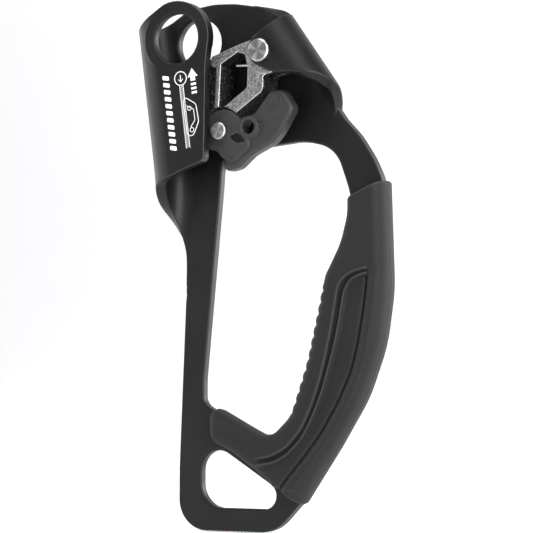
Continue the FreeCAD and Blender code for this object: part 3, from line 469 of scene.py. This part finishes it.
def surface_net(field, low, step):
    """Vertices and quads of the zero surface of a gridded field, negative inside."""
    solid = field < 0
    corners = [(a, b, c) for a in (0, 1) for b in (0, 1) for c in (0, 1)]
    nx, ny, nz = (k - 1 for k in field.shape)
    count = np.zeros((nx, ny, nz), np.int8)
    for a, b, c in corners:
        count += solid[a:nx + a, b:ny + b, c:nz + c]
    cells = np.argwhere((count > 0) & (count < 8))
    index = np.full((nx, ny, nz), -1, np.int64)
    index[tuple(cells.T)] = np.arange(len(cells))
    # each cell's vertex is the mean of the crossings on its edges
    total = np.zeros((len(cells), 3))
    crossings = np.zeros(len(cells))
    for corner in corners:
        for axis in range(3):
            if corner[axis]:
                continue
            other = list(corner)
            other[axis] = 1
            value = field[tuple((cells + corner).T)]
            other_value = field[tuple((cells + other).T)]
            hit = (value < 0) != (other_value < 0)
            place = np.tile(np.array(corner, float), (int(hit.sum()), 1))
            place[:, axis] += value[hit] / (value[hit] - other_value[hit])
            total[hit] += place
            crossings[hit] += 1
    verts = np.asarray(low) + step * (cells + total / crossings[:, None])
    # one quad round each grid edge that crosses the surface
    quads = []
    for axis, (u, w) in enumerate(((1, 2), (2, 0), (0, 1))):
        near, far = [slice(None)] * 3, [slice(None)] * 3
        near[axis], far[axis] = slice(0, -1), slice(1, None)
        first = solid[tuple(near)]
        edge = np.argwhere(first != solid[tuple(far)])
        edge = edge[(edge[:, u] > 0) & (edge[:, w] > 0)
                    & (edge[:, u] < field.shape[u] - 1) & (edge[:, w] < field.shape[w] - 1)]
        ring = []
        for du, dw in ((1, 1), (0, 1), (0, 0), (1, 0)):
            cell = edge.copy()
            cell[:, u] -= du
            cell[:, w] -= dw
            ring.append(index[tuple(cell.T)])
        quad = np.column_stack(ring)
        back = ~first[tuple(edge.T)]
        quad[back] = quad[back][:, ::-1]
        quads.append(quad)
    return verts, np.vstack(quads)


# ------------------------------------------------------------------ grip
# Lines on the grip as (x, z), each running down from the top.
# Twin lips round the panel; the groove is on their outer (+X) side.
INNER_LIP = smooth_line([
    (71.9, -85.4), (68.5, -86.0), (64.5, -87.3), (61.5, -89.9), (60.3, -92.6),
    (59.7, -97.0), (58.5, -103.3), (57.2, -109.9), (55.6, -116.9), (53.2, -125.6),
    (49.7, -135.3), (45.8, -143.1), (39.8, -149.8), (33.0, -153.3), (25.0, -154.2)])
OUTER_LIP = smooth_line([
    (71.6, -87.4), (67.9, -88.2), (65.1, -90.0), (63.3, -92.9), (62.5, -97.1),
    (61.3, -104.2), (59.7, -111.4), (57.6, -118.9), (54.0, -130.4), (50.2, -139.2),
    (46.0, -146.7), (39.8, -152.8), (34.3, -155.6), (27.0, -156.7)])
GROOVE = smooth_line([
    (72.0, -87.0), (71.6, -92.0), (70.7, -99.0), (69.3, -107.0), (67.9, -114.1),
    (65.5, -122.7), (60.1, -134.0), (53.4, -144.8), (46.6, -153.3), (39.8, -161.0),
    (36.2, -165.6)])
FINGER_SIDE = smooth_line([
    (61.9, -60.0), (61.6, -68.0), (59.2, -76.0), (53.2, -87.6), (51.0, -99.0),
    (46.2, -119.0), (39.6, -138.0), (29.8, -146.6), (20.0, -142.5)], rounds=4)

# Outline as (x, z, corner radius), carried on past the three cut ends.
GRIP_OUTLINE = [
    (63.4, -46.0), (76.8, -43.0), (77.25, -56.0), (77.9, -75.0, 60), (78.5, -93.0, 60),
    (75.6, -113.0, 60), (68.6, -132.0, 60), (57.0, -150.5, 80), (43.6, -170.0),
    (36.7, -180.0), (25.0, -173.5), (32.2, -164.3, 3.0), (24.8, -158.9), (15.7, -152.7, 20),
    (11.0, -150.2, 20), (-4.0, -147.2), (-4.0, -129.7), (9.5, -136.9), (20.0, -142.3, 30),
    (30.0, -147.2, 13.0), (39.6, -138.0, 14.0), (46.2, -119.0, 60), (51.0, -99.0, 30),
    (53.4, -87.6, 5.0), (59.6, -76.0, 30), (62.3, -66.0, 20), (62.3, -57.6),
]
GRIP_FRONT, GRIP_BACK = -5.4, 9.4       # y of the two faces
GRIP_MIDDLE = 0.5 * (GRIP_FRONT + GRIP_BACK)
GRIP_HALF = 0.5 * (GRIP_BACK - GRIP_FRONT)
CROWN_DEPTH = 4.9                       # how far in from the outline the section rounds over
CROWN_POWER = 2.35                      # superellipse power of that rounding
GRID_STEP = 0.4
GRID_LOW = (1.0, -8.0, -175.0)
GRID_SIZE = (81.0, 20.0, 123.5)


def front_relief(x, z, points, past_tail):
    """Height added to the front face."""
    inner_lip, inner_side, _ = nearest(points, INNER_LIP)
    outer_lip, outer_side, _ = nearest(points, OUTER_LIP)
    groove, groove_side, _ = nearest(points, GROOVE)
    outer = groove_side > 0
    height = np.zeros(len(points))
    # outer rail: a rounded swell between the groove and the outside edge
    below_arch = ramp(-z, start=85.0, end=91.0)
    height += ridge(groove - 4.6, width=3.2, height=0.95) * outer * below_arch
    height += ridge(groove - 2.1, width=0.7, height=0.22) * outer * below_arch
    # panel between the lips and the groove lies lower
    panel = (outer_side > 0) & ~outer
    sink = ramp(np.where(panel, outer_lip, 0.0), start=0.0, end=1.2)
    height -= 0.75 * sink * ramp(-z, start=87.0, end=88.5)
    # twin raised lips with a valley between
    ends = ramp(x, start=24.5, end=31.0) * np.where(outer, 1 - ramp(groove, start=0.0, end=0.8), 1.0)
    height += ridge(inner_lip, width=0.65, height=0.80) * ends
    height += ridge(outer_lip, width=0.62, height=0.75) * ends
    between = (inner_side > 0) & (outer_side < 0)
    valley = np.where(between, np.minimum(inner_lip, outer_lip), 0.0)
    height -= 0.90 * ramp(valley, start=0.25, end=1.1) * ends
    # groove at the foot of the rail
    height += ridge(groove, width=0.60, height=-1.25) * ramp(-z, start=86.5, end=89.5)
    # swelling at the lower arm's left end, and the dip beside it
    height += mound(x, z, centre=(10.5, -143.6), widths=(5.0, 4.2), height=0.35)
    height += ridge(x - 20.5, width=4.0, height=-0.30) * (x < 34)
    # low boss at the top beside the outer edge
    height += mound(x, z, centre=(75.4, -57.4), widths=(1.0, 1.0), height=0.30)
    # slanting facet at the rail's end, wider and deeper further along the cut
    along = (x - 37.1) * 0.761 - (z + 164.7) * 0.649
    reach = np.clip(along, 0, 9)
    facet = np.clip(1 - past_tail / (0.4 + 0.75 * reach), 0, 1)
    height -= 0.34 * (0.4 + reach) * facet * outer
    return height


def finger_ribs(points):
    """Ribs standing out sideways along the finger side."""
    distance, _, arc = nearest(points, FINGER_SIDE)
    pitch, first, last = 4.15, 33.0, 81.0
    depth, sharpness, mean = 0.80, 0.7, 0.60
    zone = ramp(arc, first - 1.5, first + 1.5) * (1 - ramp(arc, last - 2, last + 2))
    wave = np.abs(np.cos(math.pi * (arc - first) / pitch))
    return depth * (wave ** sharpness - mean) * zone * (1 - ramp(distance, start=2.4, end=5.0))


def grip_field():
    """The grip as a gridded field, negative inside."""
    xs, ys, zs = (low + GRID_STEP * np.arange(int(size / GRID_STEP))
                  for low, size in zip(GRID_LOW, GRID_SIZE))
    grid_x, grid_z = np.meshgrid(xs, zs, indexing="ij")
    shape = grid_x.shape
    points = np.column_stack([grid_x.ravel(), grid_z.ravel()])
    x, z = points[:, 0], points[:, 1]
    outline = resample(rounded(GRIP_OUTLINE), 0.5, closed=True)
    distance, _, _ = nearest(points, outline, closed=True)
    depth = np.where(inside(points, outline), distance, -distance)
    # cut ends: each is positive on the side that is kept
    top = (x - 61.9) * 0.4072 - (z + 60.7) * 0.9133
    arm = (x - 6.3) + 0.065 * (z + 144.2)
    past_tail = (x - 36.0) * 0.649 + (z + 165.1) * 0.761
    tail = past_tail + 1.5 * np.maximum(z + 165.2, 0.0)
    cuts = [(top.reshape(shape), 0.55), (arm.reshape(shape), 3.2), (tail.reshape(shape), 0.8)]
    front = front_relief(x, z, points, past_tail).reshape(shape)
    back = ridge(depth - 7.4, width=0.7, height=-0.35).reshape(shape)
    ribs = finger_ribs(points).reshape(shape)
    depth = depth.reshape(shape)
    field = np.empty((len(xs), len(ys), len(zs)))
    for k, y in enumerate(ys):
        thickness = GRIP_HALF + (front if y < GRIP_MIDDLE else back)
        v = abs(y - GRIP_MIDDLE) / thickness
        seam = ridge(y - GRIP_MIDDLE, width=0.42, height=0.15)
        u = np.clip((CROWN_DEPTH - depth - ribs - seam) / CROWN_DEPTH, 0, 6)
        layer = ((u ** CROWN_POWER + v ** CROWN_POWER) ** (1 / CROWN_POWER) - 1) * CROWN_DEPTH
        for kept, edge_radius in cuts:
            layer = round_max(layer, -kept, edge_radius)
        field[:, k, :] = layer
    return field


def build_grip():
    verts, quads = surface_net(grip_field(), GRID_LOW, GRID_STEP)
    mesh = bpy.data.meshes.new("grip_moulding")
    mesh.from_pydata((verts * MM).tolist(), [], quads.tolist())
    mesh.polygons.foreach_set("use_smooth", [True] * len(mesh.polygons))
    mesh.update()
    grip = bpy.data.objects.new("grip_moulding", mesh)
    scene.collection.objects.link(grip)
    relax = grip.modifiers.new("relax", "SMOOTH")
    relax.factor = 0.5
    relax.iterations = 2
    paint(grip, RUBBER)
    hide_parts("grip")
    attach(grip, "frame_body")


build_grip()


# ------------------------------------------------------------------ raised details
def add_prism(bm, front, back, front_y, back_y):
    """Closed solid between two (x, z) loops with equal point counts."""
    near, far = ([bm.verts.new((x * MM, y * MM, z * MM)) for x, z in loop]
                 for loop, y in ((front, front_y), (back, back_y)))
    bm.faces.new(near)
    bm.faces.new(far[::-1])
    for i in range(len(near)):
        j = (i + 1) % len(near)
        bm.faces.new((near[i], far[i], far[j], near[j]))


def object_from(bm, name, material):
    mesh = bpy.data.meshes.new(name)
    bm.to_mesh(mesh)
    bm.free()
    obj = bpy.data.objects.new(name, mesh)
    scene.collection.objects.link(obj)
    paint(obj, material)
    return obj


def fit_detail(bm, name, material, body):
    """Finishes a detail and fixes it to a moving body."""
    bmesh.ops.recalc_face_normals(bm, faces=bm.faces[:])
    obj = object_from(bm, name, material)
    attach(obj, body)


# Printed marks on the front flap, drawn as (across, up) from their own origins.
FLAP_Y = -17.5
INK_THICKNESS = 0.05
INK_SUNK = 0.02
TILT = math.radians(-7.4)               # the marks follow the fold line
ARROW_ORIGIN = (6.9, -11.4)
DRAWING_ORIGIN = (1.8, -12.0)
DASH_ORIGIN = (-4.4, -13.0)


def lean(points, origin):
    """Places (across, up) points at origin, tilted with the fold."""
    cos, sin = math.cos(TILT), math.sin(TILT)
    return [(origin[0] + x * cos + z * sin, origin[1] - x * sin + z * cos) for x, z in points]


def print_mark(name, loops):
    bm = bmesh.new()
    for loop in loops:
        add_prism(bm, loop, loop, FLAP_Y - INK_THICKNESS, FLAP_Y + INK_SUNK)
    fit_detail(bm, name, INK, "frame_body")


def stroke(points, width, closed=False):
    """Quads that follow a polyline of the drawing with the given width."""
    line = np.asarray(lean(points, DRAWING_ORIGIN), float)
    if closed:
        along = np.roll(line, -1, axis=0) - np.roll(line, 1, axis=0)
    else:
        along = np.gradient(line, axis=0)
    along /= np.linalg.norm(along, axis=1)[:, None]
    side = np.column_stack([-along[:, 1], along[:, 0]]) * width / 2
    left, right = line + side, line - side
    quads = []
    for i in range(len(line) if closed else len(line) - 1):
        j = (i + 1) % len(line)
        quads.append([tuple(left[i]), tuple(left[j]), tuple(right[j]), tuple(right[i])])
    return quads


def circle(x, z, radius, sides):
    angles = [2 * math.pi * i / sides for i in range(sides)]
    return [(x + radius * math.cos(t), z + radius * math.sin(t)) for t in angles]


def print_arrow():
    """Upward arrow with three bars laid over its shaft and below."""
    arrow = [(0, 0), (2.15, -3.3), (1.0, -3.1), (1.0, -4.7),
             (-1.0, -4.7), (-1.0, -3.1), (-2.15, -3.3)]
    first_bar, bar_pitch, bar_height, bar_half = -5.5, 1.55, 0.85, 1.1
    loops = [arrow]
    for k in range(3):
        z = first_bar - bar_pitch * k
        loops.append([(-bar_half, z), (bar_half, z),
                      (bar_half, z - bar_height), (-bar_half, z - bar_height)])
    print_mark("mark_arrow", [lean(loop, ARROW_ORIGIN) for loop in loops])


def print_drawing():
    """Line drawing of a clamp on a rope, below a down arrow in a circle."""
    rope_half = 0.75
    quads = stroke(circle(0, -3.0, radius=2.5, sides=40), width=0.32, closed=True)
    quads += stroke([(0, -1.7), (0, -4.2)], width=0.30)
    quads += stroke([(-0.9, -3.3), (0, -4.3), (0.9, -3.3)], width=0.30)
    for x in (-rope_half, rope_half):
        quads += stroke([(x, -5.6), (x, -29.0)], width=0.24)
    first_strand, strand_pitch, strand_rise = -5.9, 0.85, 0.7
    for k in range(27):
        z = first_strand - strand_pitch * k
        quads += stroke([(-rope_half, z - strand_rise), (rope_half, z)], width=0.20)
    clamp = rounded([(0.9, -10.2, 1.6), (5.2, -13.4, 2.2), (5.6, -20.0, 2.4),
                     (2.6, -25.0, 2.0), (0.2, -24.2, 1.4), (0.0, -12.0, 1.0)], step=0.3)
    quads += stroke(clamp, width=0.30, closed=True)
    quads += stroke([(1.2, -13.4), (4.0, -15.2), (4.1, -19.2), (2.0, -21.6)], width=0.26)
    quads += stroke(circle(2.3, -14.6, radius=0.75, sides=20), width=0.24, closed=True)
    quads += stroke(circle(2.4, -22.6, radius=0.8, sides=20), width=0.24, closed=True)
    print_mark("mark_drawing", quads)


def print_dashes():
    """Column of slanted dashes."""
    left, right, drop, height, corner = -1.3, 1.4, 0.8, 1.6, 0.4
    first, pitch = -0.4, 2.62
    loops = []
    for k in range(11):
        z = first - pitch * k
        dash = rounded([(left, z, corner), (right, z - drop, corner),
                        (right, z - drop - height, corner), (left, z - height, corner)], step=0.25)
        loops.append(lean(dash, DASH_ORIGIN))
    print_mark("mark_dashes", loops)


print_arrow()
print_drawing()
print_dashes()

# Relief on the catch: bars as (x, z, width, height), all turned alike.
CATCH_Y = -12.3
CATCH_BARS = [(32.4, -31.5, 2.0, 0.8), (34.3, -32.4, 0.8, 1.7),
              (32.6, -33.3, 1.8, 0.8), (34.0, -34.9, 1.9, 0.8)]
BAR_TURN = math.radians(20.0)
BAR_CORNER = 0.3
BAR_RAISED, BAR_SUNK = 0.26, 0.1
BAR_TAPER = 0.14                        # how much the bar's front face shrinks


def add_ring(bm, x, z, radius, wire, flatten, sides, wire_sides):
    """Flattened torus facing -Y on the catch's face."""
    grid = []
    for i in range(sides):
        turn = 2 * math.pi * i / sides
        row = []
        for j in range(wire_sides):
            around = 2 * math.pi * j / wire_sides
            reach = radius + wire * math.cos(around)
            row.append(bm.verts.new(((x + reach * math.cos(turn)) * MM,
                                     (CATCH_Y + flatten * wire * math.sin(around)) * MM,
                                     (z + reach * math.sin(turn)) * MM)))
        grid.append(row)
    for i in range(sides):
        row, after = grid[i], grid[(i + 1) % sides]
        for j in range(wire_sides):
            k = (j + 1) % wire_sides
            bm.faces.new((row[j], after[j], after[k], row[k])).smooth = True


def build_catch_relief():
    bm = bmesh.new()
    add_ring(bm, 39.1, -24.9, radius=2.2, wire=0.38, flatten=0.65, sides=48, wire_sides=8)
    cos, sin = math.cos(BAR_TURN), math.sin(BAR_TURN)
    for x, z, width, height in CATCH_BARS:
        loop = rounded([(i * width / 2, j * height / 2, BAR_CORNER)
                        for i, j in ((-1, -1), (1, -1), (1, 1), (-1, 1))], step=0.2)
        foot = [(x + u * cos - w * sin, z + u * sin + w * cos) for u, w in loop]
        face = [((1 - BAR_TAPER) * u + BAR_TAPER * x, (1 - BAR_TAPER) * w + BAR_TAPER * z)
                for u, w in foot]
        add_prism(bm, face, foot, CATCH_Y - BAR_RAISED, CATCH_Y + BAR_SUNK)
    fit_detail(bm, "catch_relief", NYLON, "catch_body")


build_catch_relief()


# ------------------------------------------------------------------ studio
def aim_rotation(direction):
    return direction.to_track_quat("-Z", "Y").to_euler()


# Area lights: name, place, width, height, watts; all aimed at the product.
LIGHT_TARGET = Vector((0.032, -0.007, -0.084))
LIGHTS = [
    ("key_right", (0.90, -0.46, 0.10), 0.7, 1.3, 22.0),
    ("fill_left", (-0.95, -0.40, 0.10), 0.9, 1.3, 9.0),
    ("top_soft", (0.05, -0.35, 0.95), 1.0, 1.0, 9.0),
    ("front_low", (0.25, -1.35, 0.15), 0.8, 0.8, 1.0),
    ("rim_right", (0.62, 0.84, -0.02), 0.45, 0.8, 9.0),
    ("rim_left", (-1.15, 0.35, 0.05), 0.5, 0.9, 4.0),
]
for name, place, width, height, watts in LIGHTS:
    data = bpy.data.lights.new(name, "AREA")
    data.shape = "RECTANGLE"
    data.size = width
    data.size_y = height
    data.energy = watts
    lamp = bpy.data.objects.new(name, data)
    lamp.location = place
    lamp.rotation_euler = aim_rotation(LIGHT_TARGET - Vector(place))
    scene.collection.objects.link(lamp)


def build_world(seen_strength, lighting_strength):
    """White world: one strength for camera rays, another for all other rays."""
    world = bpy.data.worlds.new("studio")
    scene.world = world
    world.use_nodes = True
    nodes = world.node_tree.nodes
    nodes.clear()
    output = nodes.new("ShaderNodeOutputWorld")
    rays = nodes.new("ShaderNodeLightPath")
    mixer = nodes.new("ShaderNodeMixShader")
    feed(mixer.inputs[0], rays.outputs["Is Camera Ray"])
    for slot, strength in ((1, lighting_strength), (2, seen_strength)):
        background = nodes.new("ShaderNodeBackground")
        background.inputs[0].default_value = (1, 1, 1, 1)
        background.inputs[1].default_value = strength
        feed(mixer.inputs[slot], background.outputs[0])
    feed(output.inputs[0], mixer.outputs[0])


def build_floor():
    """Floor that curves up into a wall behind the product."""
    material = pale_floor()
    front_y, cove_y, cove_radius, wall_top, half_width = -1.6, 0.9, 0.6, 2.2, 2.4
    floor_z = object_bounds()[0][2] - 0.0004
    profile = [(front_y, floor_z), (cove_y, floor_z)]
    for i in range(1, 13):
        angle = i / 12 * math.pi / 2
        profile.append((cove_y + cove_radius * math.sin(angle),
                        floor_z + cove_radius * (1 - math.cos(angle))))
    profile.append((cove_y + cove_radius, wall_top))
    bm = bmesh.new()
    rows = [[bm.verts.new((x, y, z)) for y, z in profile]
            for x in np.linspace(-half_width, half_width, 9)]
    for left, right in zip(rows, rows[1:]):
        for i in range(len(profile) - 1):
            bm.faces.new((left[i], right[i], right[i + 1], left[i + 1])).smooth = True
    object_from(bm, "floor", material)


def build_camera(target, distance, azimuth, elevation):
    """Long lens, azimuth degrees round from the front toward +X."""
    data = bpy.data.cameras.new("photo_view")
    data.sensor_width = 36.0
    data.lens = 163.5
    data.clip_start = 0.01
    data.clip_end = 20
    camera = bpy.data.objects.new("photo_view", data)
    turn, rise = math.radians(azimuth), math.radians(elevation)
    away = Vector((math.sin(turn) * math.cos(rise), -math.cos(turn) * math.cos(rise),
                   math.sin(rise)))
    camera.location = target + away * distance
    camera.rotation_euler = aim_rotation(-away)
    scene.collection.objects.link(camera)
    scene.camera = camera


build_world(seen_strength=1.0, lighting_strength=0.20)
build_floor()
build_camera(Vector((0.0324, -0.007, -0.0843)), distance=0.880, azimuth=28.6, elevation=-2.6)
